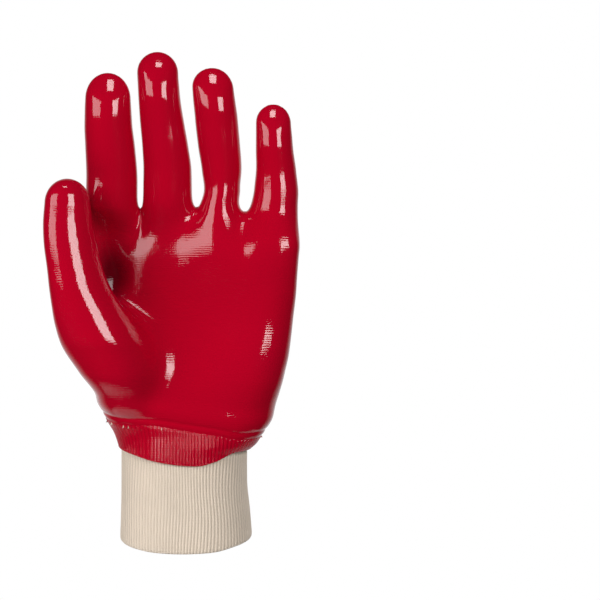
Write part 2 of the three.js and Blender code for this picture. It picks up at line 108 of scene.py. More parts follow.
# Shares of the cuff's length above the rim, of its width to the left and right, and of its
# depth to the front and back
wrist_rows = [
    (0.028, -0.536, 0.520, 0.514, 0.514),
    (0.258, -0.527, 0.501, 0.505, 0.505),
    (0.489, -0.522, 0.479, 0.497, 0.497),
    (0.718, -0.520, 0.479, 0.500, 0.500),
    (0.786, -0.527, 0.540, 0.498, 0.498),
    (0.878, -0.559, 0.597, 0.487, 0.484),
]
# Shares of the palm's length above the wrist seam, of its width and of its depth; the last
# column is how far the middle plane comes forward towards the little finger, as a slope
palm_rows = [
    (-0.019, -0.386, 0.400, 0.506, 0.494, 0.00),
    (0.039, -0.405, 0.423, 0.505, 0.481, 0.00),
    (0.096, -0.420, 0.441, 0.500, 0.472, 0.02),
    (0.183, -0.454, 0.463, 0.475, 0.453, 0.07),
    (0.304, -0.463, 0.489, 0.415, 0.425, 0.09),
    (0.448, -0.457, 0.505, 0.330, 0.396, 0.11),
    (0.593, -0.463, 0.517, 0.285, 0.358, 0.17),
    (0.750, -0.467, 0.526, 0.262, 0.299, 0.24),
    (0.809, -0.468, 0.531, 0.240, 0.264, 0.25),
    (0.904, -0.470, 0.528, 0.185, 0.216, 0.21),
    (1.000, -0.467, 0.518, 0.140, 0.170, 0.10),
]
# Degrees round the wrist from the little finger's side through the back; height of the rim,
# share of the cuff's length; drop of the dip line, share of the skirt; height of the seam
wrist_lines = [
    (0, 0.070, 0.905, 0.890),
    (45, 0.030, 0.855, 0.880),
    (90, 0.006, 0.890, 0.990),
    (135, 0.014, 0.850, 1.040),
    (180, 0.057, 0.830, 1.034),
    (215, 0.025, 0.925, 1.010),
    (240, 0.006, 1.080, 1.003),
    (270, 0.000, 1.185, 0.970),
    (285, 0.002, 1.200, 0.953),
    (302, 0.007, 1.110, 0.932),
    (325, 0.035, 0.890, 0.890),
    (360, 0.070, 0.905, 0.890),
]


table_samples = 2400


def smooth_table(rows):
    """Curves through a table's columns over its first one: cubics whose slopes are the
    harmonic mean of the neighbouring rises, and nought at a peak, so nothing overshoots."""
    table = np.array(sorted(rows), float)
    at, columns = table[:, :1], table[:, 1:]
    step = np.diff(at, axis=0)
    rise = np.diff(columns, axis=0) / step
    near = 2 * step[1:] + step[:-1]
    far = step[1:] + 2 * step[:-1]
    same_way = rise[:-1] * rise[1:] > 0
    safe = np.where(same_way, rise[:-1] * rise[1:], 1)
    weight = near * rise[1:] + far * rise[:-1] + ~same_way
    inner = np.where(same_way, (near + far) * safe / weight, 0)
    slope = np.vstack([rise[:1], inner, rise[-1:]])
    fine = np.linspace(at[0, 0], at[-1, 0], table_samples)
    i = np.clip(np.searchsorted(at[:, 0], fine, side="right") - 1, 0, len(step) - 1)
    h = step[i]
    s = (fine[:, None] - at[i]) / h
    curve = (1 + 2 * s) * (1 - s) ** 2 * columns[i] + s * (1 - s) ** 2 * h * slope[i]
    curve += s * s * (3 - 2 * s) * columns[i + 1] + s * s * (s - 1) * h * slope[i + 1]
    return lambda value: [np.interp(value, fine, column) for column in curve.T]


def body_row(at, left, right, front, back, lean=0):
    """A row of the wrist and palm as height, middle, half width, middle depth, depths, lean."""
    return at, (left + right) / 2, (right - left) / 2, 0, front, back, lean


body_section = smooth_table(
    [body_row(at * cuff_length, left * cuff_width, right * cuff_width,
              front * cuff_depth, back * cuff_depth)
     for at, left, right, front, back in wrist_rows]
    + [body_row(cuff_length + at * palm_length, left * palm_width, right * palm_width,
                front * palm_depth, back * palm_depth, lean)
       for at, left, right, front, back, lean in palm_rows]
)
line_shares = smooth_table(wrist_lines)
body_squareness = 2.3


def wrist_heights(turn):
    """Heights of rim, dip line and seam at an angle round the wrist, in radians."""
    rim, dip, seam = line_shares(np.degrees(turn) % 360)
    return rim * cuff_length, cuff_length - dip * skirt_length, seam * cuff_length


def body_radius(turn, z, inset):
    """Distance from the axis to a superellipse whose half axes are the wrist's, less inset."""
    middle, half_width, _, front, back, _ = body_section(z)
    half_depth = np.where(np.sin(turn) < 0, front, back)
    n = body_squareness
    u = np.abs(np.cos(turn) / (half_width - inset)) ** n
    v = np.abs(np.sin(turn) / (half_depth - inset)) ** n
    return middle, (u + v) ** (-1 / n)


def grid_faces(rows, columns, close_rows=False, close_columns=False):
    """Quads of a grid of points, row by row, with the last joined to the first if closed."""
    r, c = np.meshgrid(np.arange(rows - (not close_rows)), np.arange(columns - (not close_columns)),
                       indexing="ij")
    r, c = r.ravel(), c.ravel()
    below, beside = (r + 1) % rows, (c + 1) % columns
    return np.stack([r * columns + c, r * columns + beside,
                     below * columns + beside, below * columns + c], axis=1)


def add_piece(name, points, quads, material, uv=None):
    """A smooth-shaded mesh object from arrays of points, in millimetres, and quads. Its uv is
    one pair for each corner of each quad."""
    mesh = bpy.data.meshes.new(name)
    mesh.vertices.add(len(points))
    mesh.vertices.foreach_set("co", (np.asarray(points) * mm).astype(np.float32).ravel())
    mesh.loops.add(quads.size)
    mesh.loops.foreach_set("vertex_index", quads.astype(np.int32).ravel())
    mesh.polygons.add(len(quads))
    mesh.polygons.foreach_set("loop_start", np.arange(0, quads.size, 4, dtype=np.int32))
    mesh.update(calc_edges=True)
    mesh.polygons.foreach_set("use_smooth", np.ones(len(quads), bool))
    if uv is not None:
        layer = mesh.uv_layers.new(name="knit")
        layer.data.foreach_set("uv", uv.astype(np.float32).ravel())
    mesh.materials.append(material)
    mesh.validate()
    piece = bpy.data.objects.new(name, mesh)
    bpy.context.scene.collection.objects.link(piece)
    return piece


def unwrapped(values, quads, period):
    """Corner values of quads from point values that run round: where a quad straddles the
    start, its small values go up by one period."""
    corners = values[quads]
    wraps = np.ptp(corners, axis=1, keepdims=True) > period / 2
    return np.where(wraps & (corners < period / 2), corners + period, corners)


def rib_profile(phase):
    """Height across ribs, one rib for each whole number: round tops, narrow grooves."""
    return np.abs(np.cos(pi * (phase - np.floor(phase) - 0.5))) ** 0.5


def new_material(name):
    """An empty node material with a Principled shader joined to its output."""
    material = bpy.data.materials.new(name)
    material.use_nodes = True
    return material, material.node_tree, material.node_tree.nodes["Principled BSDF"]


def link(tree, source, target):
    """Joins an output socket, or a node's first output, to an input socket."""
    tree.links.new(source.outputs[0] if hasattr(source, "outputs") else source, target)


def math_node(tree, operation, *values):
    """A Math node whose inputs are sockets or plain numbers. Gives its output socket."""
    node = tree.nodes.new("ShaderNodeMath")
    node.operation = operation
    for socket, value in zip(node.inputs, values):
        if isinstance(value, (int, float)):
            socket.default_value = value
        else:
            link(tree, value, socket)
    return node.outputs[0]


def mix_colours(tree, share, first, second):
    """A colour mixed from two, each a socket or a plain colour. Gives its output socket."""
    node = tree.nodes.new("ShaderNodeMix")
    node.data_type = "RGBA"
    link(tree, share, node.inputs["Factor"])
    for socket, value in ((node.inputs["A"], first), (node.inputs["B"], second)):
        if isinstance(value, tuple):
            socket.default_value = (*value, 1)
        else:
            link(tree, value, socket)
    return node.outputs["Result"]


def noise_node(tree, vector, scale, detail=2, roughness=0.5):
    """Smooth noise over a vector socket. Gives its value socket."""
    node = tree.nodes.new("ShaderNodeTexNoise")
    node.inputs["Scale"].default_value = scale
    node.inputs["Detail"].default_value = detail
    node.inputs["Roughness"].default_value = roughness
    link(tree, vector, node.inputs["Vector"])
    return node.outputs[0]


def bump_node(tree, height, distance, below=None):
    """A Bump node for a height socket, on top of another normal if one is given."""
    node = tree.nodes.new("ShaderNodeBump")
    node.inputs["Distance"].default_value = distance
    link(tree, height, node.inputs["Height"])
    if below is not None:
        link(tree, below, node.inputs["Normal"])
    return node.outputs[0]


def object_coordinates(tree):
    """The piece's own coordinates, in metres."""
    return tree.nodes.new("ShaderNodeTexCoord").outputs["Object"]


stitch_slant = -1.3  # courses that a stitch's leg climbs across one wale
yarn_relief = 0.45  # the yarn's height, share of the wale's
hole_narrowness = 4.5
hole_depth = 1.4
yarn_cover = 1.5  # how much of a hole the yarn hides
groove_shade = 0.1  # painted shade all along a groove


def knit_group():
    """Plain knitting over a map whose u counts wales and v counts courses. Each stitch is a
    leaning oval, and a pair of them makes a V. Height is the yarn's; Hole is painted shade
    between."""
    group = bpy.data.node_groups.new("knit_stitches", "ShaderNodeTree")
    group.interface.new_socket("Vector", in_out="INPUT", socket_type="NodeSocketVector")
    group.interface.new_socket("Height", in_out="OUTPUT", socket_type="NodeSocketFloat")
    group.interface.new_socket("Hole", in_out="OUTPUT", socket_type="NodeSocketFloat")
    start = group.nodes.new("NodeGroupInput")
    end = group.nodes.new("NodeGroupOutput")
    split = group.nodes.new("ShaderNodeSeparateXYZ")
    link(group, start.outputs["Vector"], split.inputs[0])
    u, v = split.outputs["X"], split.outputs["Y"]
    from_groove = math_node(group, "PINGPONG", u, 0.5)
    lean = math_node(group, "MULTIPLY_ADD", from_groove, stitch_slant, v)
    stitch = math_node(group, "PINGPONG", lean, 0.5)
    yarn = math_node(group, "SINE", math_node(group, "MULTIPLY", stitch, pi))
    across = math_node(group, "SINE", math_node(group, "MULTIPLY", from_groove, pi))
    height = math_node(group, "MULTIPLY_ADD", yarn, yarn_relief, across)
    link(group, height, end.inputs["Height"])
    near_groove = math_node(group, "MULTIPLY_ADD", from_groove, -hole_narrowness, 1.0)
    between = math_node(group, "MULTIPLY_ADD", yarn, -yarn_cover, hole_depth)
    between = math_node(group, "MAXIMUM", between, groove_shade)
    hole = math_node(group, "MULTIPLY", math_node(group, "MAXIMUM", near_groove, 0.0), between)
    link(group, math_node(group, "MINIMUM", hole, 1.0), end.inputs["Hole"])
    return group


stitches = knit_group()


def tinted(colour, factor):
    """The colour times a factor, each part at most 1."""
    return tuple(min(1, factor * c) for c in colour)


def cotton_material(name, light, shade, fuzz):
    """Natural cotton knit: cream yarn, painted brown shade in the holes, matt with a soft sheen."""
    material, tree, shader = new_material(name)
    knit = tree.nodes.new("ShaderNodeGroup")
    knit.node_tree = stitches
    uv = tree.nodes.new("ShaderNodeUVMap")
    uv.uv_map = "knit"
    link(tree, uv, knit.inputs["Vector"])
    place = object_coordinates(tree)
    cloud = noise_node(tree, place, scale=90, detail=3)
    fibre = noise_node(tree, place, scale=2600, roughness=0.7)
    tone = mix_colours(tree, cloud, tinted(light, 0.93), tinted(light, 1.05))
    fibred = mix_colours(tree, math_node(tree, "MULTIPLY", fibre, fuzz), tone, tinted(light, 0.82))
    # Painted shade: brown in the holes and grooves between stitches
    hole = math_node(tree, "MULTIPLY", knit.outputs["Hole"], 0.75)
    colour = mix_colours(tree, hole, fibred, shade)
    link(tree, colour, shader.inputs["Base Color"])
    shader.inputs["Roughness"].default_value = 0.92
    shader.inputs["Specular IOR Level"].default_value = 0.18
    shader.inputs["Sheen Weight"].default_value = 0.25
    shader.inputs["Sheen Roughness"].default_value = 0.5
    yarn = bump_node(tree, knit.outputs["Height"], distance=0.00022)
    link(tree, bump_node(tree, fibre, distance=0.00012, below=yarn), shader.inputs["Normal"])
    return material


def knit_cuff():
    """A closed profile carried round the wrist. Round it goes the angle; along it goes the
    cloth, down the outside, round the fold and up the inside. The radius is the wrist's, less
    the coat's inset, plus the ribs; the ribs slant and waver a little as they go down."""
    turns = rib_count * rib_samples
    outer = np.linspace(1, lowest_level, cuff_levels)
    arc = np.linspace(0, pi, rim_levels)[1:-1]
    share = np.concatenate([outer, 0 * arc, outer[::-1]])
    inward = np.concatenate([0 * outer, knit_wall / 2 * (1 - np.cos(arc)), knit_wall + 0 * outer])
    lift = np.concatenate([rim_curl * (1 - outer) ** rim_curl_power,
                           rim_rise * (1 - np.sin(arc)), 0 * outer])
    turn, row = np.meshgrid(np.arange(turns) * 2 * pi / turns, np.arange(len(share)))
    rim, dip, seam = wrist_heights(turn)
    top = seam - cuff_top_gap
    z = rim + (top - rim) * share[row] + lift[row]
    rib = turn / (2 * pi) * rib_count
    drift = rib_slant * (1 - share[row]) ** 2 * (1 + np.cos(turn + rib_slant_side))
    phase = rib + drift + rib_waver * np.sin(3 * turn + z / rib_waver_height)
    relief = rib_relief * rib_profile(phase)
    under_coat = np.clip((z - dip) / squeeze_height, 0, 1)
    middle, radius = body_radius(turn, z, cuff_under_coat + rib_relief + coat_squeeze * under_coat)
    radius = radius - inward[row] + np.where(inward[row] < knit_wall / 2, relief, -relief)
    radius = radius - seam_squeeze * np.clip((z - top) / squeeze_height + 1, 0, 1)
    points = np.stack([middle + radius * np.cos(turn), radius * np.sin(turn), z], axis=-1)
    quads = grid_faces(len(share), turns, close_rows=True, close_columns=True)
    step = np.hypot(np.diff(share) * (cuff_length - cuff_top_gap), np.diff(inward))
    along = np.cumsum(np.r_[0, step])
    u = unwrapped(rib.ravel(), quads, rib_count) + (phase - rib).ravel()[quads]
    v = (along[row] / course_pitch).ravel()[quads]
    return points.reshape(-1, 3), quads[:, ::-1], np.stack([u, v], axis=-1)[:, ::-1]


cotton_knit = cotton_material("natural_cotton_rib", cotton, cotton_shade, fuzz=0.5)
cuff_points, cuff_quads, cuff_uv = knit_cuff()
cuff = add_piece("rib_cuff", cuff_points, cuff_quads, cotton_knit, cuff_uv)
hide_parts("knit_cuff")
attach(cuff, "root")


# COATED HAND
# One skin with five stalls: a thin knitted liner, dipped in PVC that sets smooth and wet-
# looking. The liner's courses still show in the shine. It is filled out as on a hand.
thumb_length = 124.5
thumb_width = 27
thumb_depth = 27
thumb_root_aside = -0.251  # share of the palm's width
thumb_tip = 0.473  # height of its round tip, share of its width
thumb_foot = -0.107  # lower end and height of its round foot, shares of its length
thumb_foot_cap = 0.209
stall_foot = 0.40  # the same for a finger's stall, shares of the palm's length
stall_foot_cap = 0.27
palm_top = 0.965  # and for the palm's round top
palm_cap = 0.17
coat_wall = 1.6
stall_blend = 11.5
thumb_blend = (8, 34, 17)  # at the wrist, at the thumb's ball and at its fork
thumb_blend_heights = (72, 120, 150)
web_blend = 2
seam_bulge = 1.3
seam_bulge_height = 5
seam_nips = [(0, 0.42, 0.9), (-3.4, 0.22, 0.8)]  # height above the seam, depth, half height
lattice = 1.34  # size of the cells that the skin is worked out in
seam_lattice_step = 0.5  # and their height near the seam
seam_zone = 5  # how far the fine cells reach above and below the seam
tuck = 0.5  # how far skin and skirt dive under each other where they overlap
tuck_height = 2.4
skin_tuck_start = 2.6  # below the seam
skirt_tuck_end = 4.4
seam_bend_reach = 0.5  # how far up the cells' levels follow the seam's bend, share of the palm
slope_probe = 0.15
flattest = 0.05  # least square of a slope that a point is moved along
liner_pitch = 1.2  # the liner's wales and courses
course_wander = 4
wale_wander = 3
wale_share = 0.2  # how strongly wales show, against courses
liner_fade = (165, 195)  # heights between which its marks fade out
liner_on_fingers = 0.12  # what is left of them there
coat_red = (0.53, 0.0003, 0.015)
coat_deep_red = (0.46, 0.0003, 0.019)
painted_fold_shade = (0.13, 0.0002, 0.006)  # painted shade in the fold between thumb and palm
fold_shade_middle = (-38.5, -3, 145)
fold_shade_reach = (15, 26, 25)
fold_shade_core = 0.15  # share of the reach that has the full colour

# Height above the webs, sideways drift and place front to back, as shares of the stall's
# length above the webs and of the palm's below them; width, front and back, as shares of the
# stall's width and depth; the little stall's last column is its lean, as the palm's
index_rows = [
    (-0.358, 0.048, 0.036, 1.10, 0.22, 0.44),
    (-0.167, 0.016, 0.036, 1.12, 0.34, 0.46),
    (0.000, 0.000, -0.014, 1.05, 0.54, 0.54),
    (0.214, 0.004, -0.022, 1.037, 0.52, 0.52),
    (0.442, -0.006, -0.036, 1.006, 0.50, 0.50),
    (0.624, -0.017, -0.051, 0.963, 0.48, 0.48),
    (0.740, -0.017, -0.064, 0.935, 0.43, 0.47),
    (0.826, -0.016, -0.074, 0.910, 0.34, 0.46),
    (0.913, -0.016, -0.076, 0.900, 0.23, 0.44),
    (0.975, -0.016, -0.076, 0.900, 0.16, 0.42),
]
middle_rows = [
    (-0.358, 0.024, 0.010, 1.132, 0.32, 0.48),
    (-0.167, 0.010, 0.015, 1.131, 0.38, 0.52),
    (0.026, -0.002, -0.006, 1.059, 0.54, 0.54),
    (0.224, -0.001, -0.012, 1.040, 0.52, 0.52),
    (0.382, -0.013, -0.025, 0.995, 0.50, 0.50),
    (0.539, -0.032, -0.037, 0.950, 0.48, 0.48),
    (0.685, -0.047, -0.050, 0.904, 0.475, 0.467),
    (0.775, -0.053, -0.056, 0.890, 0.43, 0.465),
    (0.850, -0.057, -0.062, 0.881, 0.34, 0.46),
    (0.925, -0.058, -0.066, 0.880, 0.23, 0.44),
    (0.980, -0.058, -0.066, 0.880, 0.16, 0.42),
]
ring_rows = [
    (-0.358, -0.018, -0.027, 1.207, 0.48, 0.57),
    (-0.167, -0.008, -0.020, 1.181, 0.53, 0.62),
    (0.000, 0.000, -0.007, 0.867, 0.557, 0.557),
    (0.118, 0.018, -0.007, 0.847, 0.535, 0.535),
    (0.250, 0.016, -0.014, 0.942, 0.522, 0.522),
    (0.426, -0.001, -0.028, 1.007, 0.51, 0.51),
    (0.601, -0.018, -0.042, 1.024, 0.487, 0.487),
    (0.650, -0.022, -0.047, 1.022, 0.485, 0.485),
    (0.755, -0.034, -0.061, 1.006, 0.43, 0.48),
    (0.835, -0.042, -0.068, 0.988, 0.34, 0.478),
    (0.915, -0.048, -0.072, 0.978, 0.23, 0.45),
    (0.978, -0.050, -0.072, 0.976, 0.16, 0.43),
]
little_rows = [
    (-0.358, -0.045, -0.052, 1.345, 0.42, 0.58, 0.16),
    (-0.167, -0.010, -0.055, 1.292, 0.51, 0.59, 0.17),
    (0.000, 0.012, -0.038, 1.180, 0.571, 0.571, 0.13),
    (0.160, 0.028, -0.047, 1.120, 0.538, 0.538, 0.08),
    (0.340, 0.026, -0.057, 1.030, 0.50, 0.50, 0.03),
    (0.560, 0.010, -0.074, 0.960, 0.476, 0.476, 0.00),
    (0.690, 0.005, -0.085, 0.930, 0.42, 0.464, 0.00),
    (0.800, 0.000, -0.093, 0.900, 0.33, 0.452, 0.00),
    (0.900, -0.002, -0.097, 0.885, 0.22, 0.43, 0.00),
    (0.973, -0.002, -0.097, 0.880, 0.15, 0.41, 0.00),
]
# The thumb's rows count from the wrist seam; their last column is a lean too
thumb_rows = [
    (0.000, 0.000, -0.064, 0.863, 0.593, 0.519, 0.00),
    (0.090, -0.025, -0.110, 1.013, 0.660, 0.593, 0.00),
    (0.202, -0.069, -0.170, 1.351, 0.770, 0.741, 0.00),
    (0.312, -0.116, -0.216, 1.504, 0.770, 0.835, -0.04),
    (0.398, -0.145, -0.252, 1.425, 0.630, 0.821, -0.10),
    (0.483, -0.173, -0.271, 1.266, 0.510, 0.750, -0.16),
    (0.565, -0.200, -0.278, 1.101, 0.444, 0.686, -0.20),
    (0.639, -0.217, -0.276, 1.018, 0.407, 0.649, -0.20),
    (0.745, -0.237, -0.264, 0.966, 0.380, 0.601, -0.20),
    (0.834, -0.248, -0.249, 0.899, 0.363, 0.563, -0.18),
    (0.900, -0.251, -0.234, 0.844, 0.346, 0.524, -0.15),
]
# Rows, length above the webs, width, depth, share of the width in the round tip, and the
# room to the next stall at the webs
stall_sizes = [
    (index_rows, 69.1, 26.0, 24, 0.500, 3.1),
    (middle_rows, 80.0, 24.4, 24, 0.450, 5.0),
    (ring_rows, 71.7, 22.0, 23, 0.484, 7.0),
    (little_rows, 52.7, 20.5, 21, 0.467, 0.0),
]
# Swellings and dents: place and reach across, front to back and up, as shares of the palm's
# width, depth and length; lean in degrees; height, a share of the width
swellings = [
    (0.012, -0.415, 0.540, 0.230, 0.264, 0.240, 0, -0.018),
    (0.385, -0.420, 0.300, 0.165, 0.260, 0.420, 5, 0.039),
    (-0.215, -0.550, 0.210, 0.190, 0.450, 0.230, 0, 0.042),
    (0.240, -0.302, 0.850, 0.220, 0.302, 0.250, 0, 0.018),
    (-0.265, -0.100, 0.745, 0.130, 0.300, 0.150, 0, 0.019),
    (-0.371, 0.283, 0.898, 0.082, 0.189, 0.081, 0, 0.015),
    (-0.090, 0.302, 0.917, 0.082, 0.189, 0.081, 0, 0.016),
    (0.162, 0.302, 0.898, 0.082, 0.189, 0.081, 0, 0.015),
    (0.394, 0.264, 0.840, 0.073, 0.189, 0.072, 0, 0.013),
    (-0.234, 0.302, 0.829, 0.037, 0.151, 0.144, -4, -0.013),
    (0.038, 0.302, 0.829, 0.037, 0.151, 0.144, 0, -0.013),
    (0.285, 0.302, 0.790, 0.037, 0.151, 0.144, 4, -0.013),
    (0.280, -0.302, 0.850, 0.055, 0.200, 0.110, 4, -0.018),
]
web_height = cuff_length + palm_length


def limb(section, top, cap, foot=None, foot_cap=1.0, squareness=2.0):
    """Distance to stacked elliptical sections with rounded ends: the section's own radius at
    the point, less one, divided by how steeply it grows, with a floor under both. A lean
    slants the middle plane, so that it comes forward on one side."""
    def distance(x, y, z):
        middle, half_width, centre, front, back, *lean = section(z)
        if lean:
            centre = centre - lean[0] * np.clip(x - middle, -half_width, half_width)
        half_depth = np.where(y < centre, front, back)
        above = np.maximum(z - (top - cap), 0) / cap
        below = 0 if foot is None else np.maximum(foot + foot_cap - z, 0) / foot_cap
        u, v, w = np.abs(x - middle) / half_width, np.abs(y - centre) / half_depth, above + below
        end = np.where(above > 0, cap, foot_cap)
        n = squareness
        r = np.maximum((u ** n + v ** n + w ** n) ** (1 / n), 0.001)
        steep = np.sqrt((u ** (n - 1) / half_width) ** 2 + (v ** (n - 1) / half_depth) ** 2
                        + (w ** (n - 1) / end) ** 2) / r ** (n - 1)
        return (r - 1) / np.maximum(steep, 0.5 / np.maximum(half_width, half_depth))
    return distance


def blended(a, b, size):
    """Union of two distances with a soft fillet: the smaller, less a cubic near where they
    are equal."""
    h = np.maximum(size - np.abs(a - b), 0) / size
    return np.minimum(a, b) - h ** 3 * size / 6


def stall_row(root, length, width, depth, row):
    """One row of a stall's table in millimetres."""
    at, aside, fore, wide, front, back, *lean = row
    unit = palm_length if at < 0 else length
    return (web_height + at * unit, root + aside * unit, wide * width / 2, fore * unit,
            front * depth, back * depth, *lean)


stalls = []
row_width = sum(rows[2][3] * width + room for rows, _, width, _, _, room in stall_sizes)
edge = palm_width * (palm_rows[-1][1] + palm_rows[-1][2]) / 2 - row_width / 2
for rows, length, width, depth, tip, room in stall_sizes:
    root = edge + rows[2][3] * width / 2
    edge += rows[2][3] * width + room
    section = smooth_table([stall_row(root, length, width, depth, row) for row in rows])
    stalls.append(limb(section, web_height + length, tip * width,
                       cuff_length + stall_foot * palm_length, stall_foot_cap * palm_length))
thumb_root = thumb_root_aside * palm_width
thumb_section = smooth_table([
    (cuff_length + at * thumb_length, thumb_root + aside * thumb_length, wide * thumb_width / 2,
     fore * thumb_length, front * thumb_depth, back * thumb_depth, lean)
    for at, aside, fore, wide, front, back, lean in thumb_rows
])
thumb = limb(thumb_section, cuff_length + thumb_length, thumb_tip * thumb_width,
             cuff_length + thumb_foot * thumb_length, thumb_foot_cap * thumb_length)
palm = limb(body_section, cuff_length + palm_top * palm_length, palm_cap * palm_length,
            squareness=body_squareness)


def swell(x, y, z):
    """How far the skin is pushed out: a bell curve in three directions for each swelling, and
    a roll above the wrist seam, and the narrow nips of its stitching."""
    out = 0
    for across, deep, at, rx, ry, rz, lean, height in swellings:
        c, s = cos(radians(lean)), sin(radians(lean))
        dx, dz = x - across * palm_width, z - cuff_length - at * palm_length
        u = (dx * c - dz * s) / (rx * palm_width)
        v = (y - deep * palm_depth) / (ry * palm_depth)
        w = (dx * s + dz * c) / (rz * palm_length)
        out = out + height * palm_width * np.exp(-u * u - v * v - w * w)
    above_seam = z - wrist_heights(np.arctan2(y, x))[2]
    out = out + seam_bulge * np.exp(-((above_seam - seam_bulge_height) / seam_bulge_height) ** 2)
    for height, depth, half_height in seam_nips:
        out = out - depth * np.exp(-((above_seam - height) / half_height) ** 2)
    return out


def coat_distance(x, y, z):
    """Distance to the coat's face: palm, fingers and thumb blended into one form."""
    body = palm(x, y, z)
    hand = None
    for stall in stalls:
        with_palm = blended(body, stall(x, y, z), stall_blend)
        hand = with_palm if hand is None else blended(hand, with_palm, web_blend)
    fillet = np.interp(z, thumb_blend_heights, thumb_blend)
    return blended(hand, thumb(x, y, z), fillet) - swell(x, y, z)


def settle(points, passes=4, level_only=False):
    """Moves points on to the coat's face along the slope of its distance."""
    points = points.copy()
    for _ in range(passes):
        value = coat_distance(*points.T)
        ahead = [coat_distance(*(points + slope_probe * axis).T) for axis in np.eye(3)]
        astern = [coat_distance(*(points - slope_probe * axis).T) for axis in np.eye(3)]
        slope = (np.stack(ahead, axis=1) - np.stack(astern, axis=1)) / (2 * slope_probe)
        if level_only:
            slope[:, 2] = 0
        square = np.maximum((slope ** 2).sum(axis=1), flattest)
        points -= np.clip(value / square, -1, 1)[:, None] * slope
    return points


def seam_lattice(x, y, height):
    """Height of a lattice level at (x, y): level far up, and bent to follow the wrist seam
    at its foot."""
    fade = np.clip((height - cuff_length) / (seam_bend_reach * palm_length), 0, 1)
    offset = wrist_heights(np.arctan2(y, x))[2] - cuff_length
    return height + offset * (1 - fade * fade * (3 - 2 * fade))


def coat_skin():
    """The coat's face above the wrist seam. Space is cut into small cells, and each cell that
    the face passes through gets one point: the mean of where the face crosses its edges, moved
    on to the face. Each crossed edge gets a quad between the four cells round it."""
    low, high = (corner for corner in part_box("coated_hand"))
    reach = 2 * lattice
    xs = np.arange(low.x / mm - reach, high.x / mm + reach, lattice)
    ys = np.arange(low.y / mm - reach, high.y / mm + reach, lattice)
    zs = np.concatenate([
        np.arange(cuff_length - seam_zone, cuff_length + seam_zone, seam_lattice_step),
        np.arange(cuff_length + seam_zone, high.z / mm + reach, lattice),
    ])
    x, y, height = np.meshgrid(xs, ys, zs, indexing="ij")
    z = seam_lattice(x, y, height)
    value = coat_distance(x, y, z)
    lattice_points = np.stack([x, y, z], axis=-1)
    inside = value < 0
    cells = tuple(n - 1 for n in inside.shape)
    corner = [inside[i:i + cells[0], j:j + cells[1], k:k + cells[2]]
              for i in (0, 1) for j in (0, 1) for k in (0, 1)]
    filled = sum(c.astype(np.int8) for c in corner)
    active = (filled > 0) & (filled < 8)
    number = np.full(cells, -1)
    number[active] = np.arange(active.sum())
    cell = np.argwhere(active)
    total, count = np.zeros((len(cell), 3)), np.zeros(len(cell))
    for axis, (second, third) in enumerate([(1, 2), (0, 2), (0, 1)]):
        for i in (0, 1):
            for j in (0, 1):
                start = cell.copy()
                start[:, second] += i
                start[:, third] += j
                end = start.copy()
                end[:, axis] += 1
                a, b = value[tuple(start.T)], value[tuple(end.T)]
                crossed = (a < 0) != (b < 0)
                share = (a / np.where(crossed, a - b, 1))[:, None]
                p, q = lattice_points[tuple(start.T)], lattice_points[tuple(end.T)]
                total += np.where(crossed[:, None], p + share * (q - p), 0)
                count += crossed
    points = settle(total / count[:, None])
    foot = cell[:, 2] == 0
    edge_points = points[foot]
    edge_points[:, 2] = seam_lattice(edge_points[:, 0], edge_points[:, 1], zs[0])
    points[foot] = settle(edge_points, level_only=True)
    seam = wrist_heights(np.arctan2(points[:, 1], points[:, 0]))[2]
    inset = tuck * np.clip((seam - skin_tuck_start - points[:, 2]) / tuck_height, 0, 1)
    points[:, :2] *= 1 - (inset / np.hypot(points[:, 0], points[:, 1]))[:, None]
    quads = []
    for axis, (second, third) in enumerate([(1, 2), (2, 0), (0, 1)]):
        first = np.swapaxes(inside, 0, axis)[:-1].swapaxes(0, axis)
        last = np.swapaxes(inside, 0, axis)[1:].swapaxes(0, axis)
        edges = np.argwhere(first != last)
        size = inside.shape
        keep = ((edges[:, second] > 0) & (edges[:, second] < size[second] - 1)
                & (edges[:, third] > 0) & (edges[:, third] < size[third] - 1))
        edges = edges[keep]
        ring = []
        for i, j in ((-1, -1), (0, -1), (0, 0), (-1, 0)):
            beside = edges.copy()
            beside[:, second] += i
            beside[:, third] += j
            ring.append(number[tuple(beside.T)])
        ring = np.stack(ring, axis=1)
        leaving = first[tuple(edges.T)]
        quads.append(np.where(leaving[:, None], ring, ring[:, ::-1]))
    return points, np.concatenate(quads)


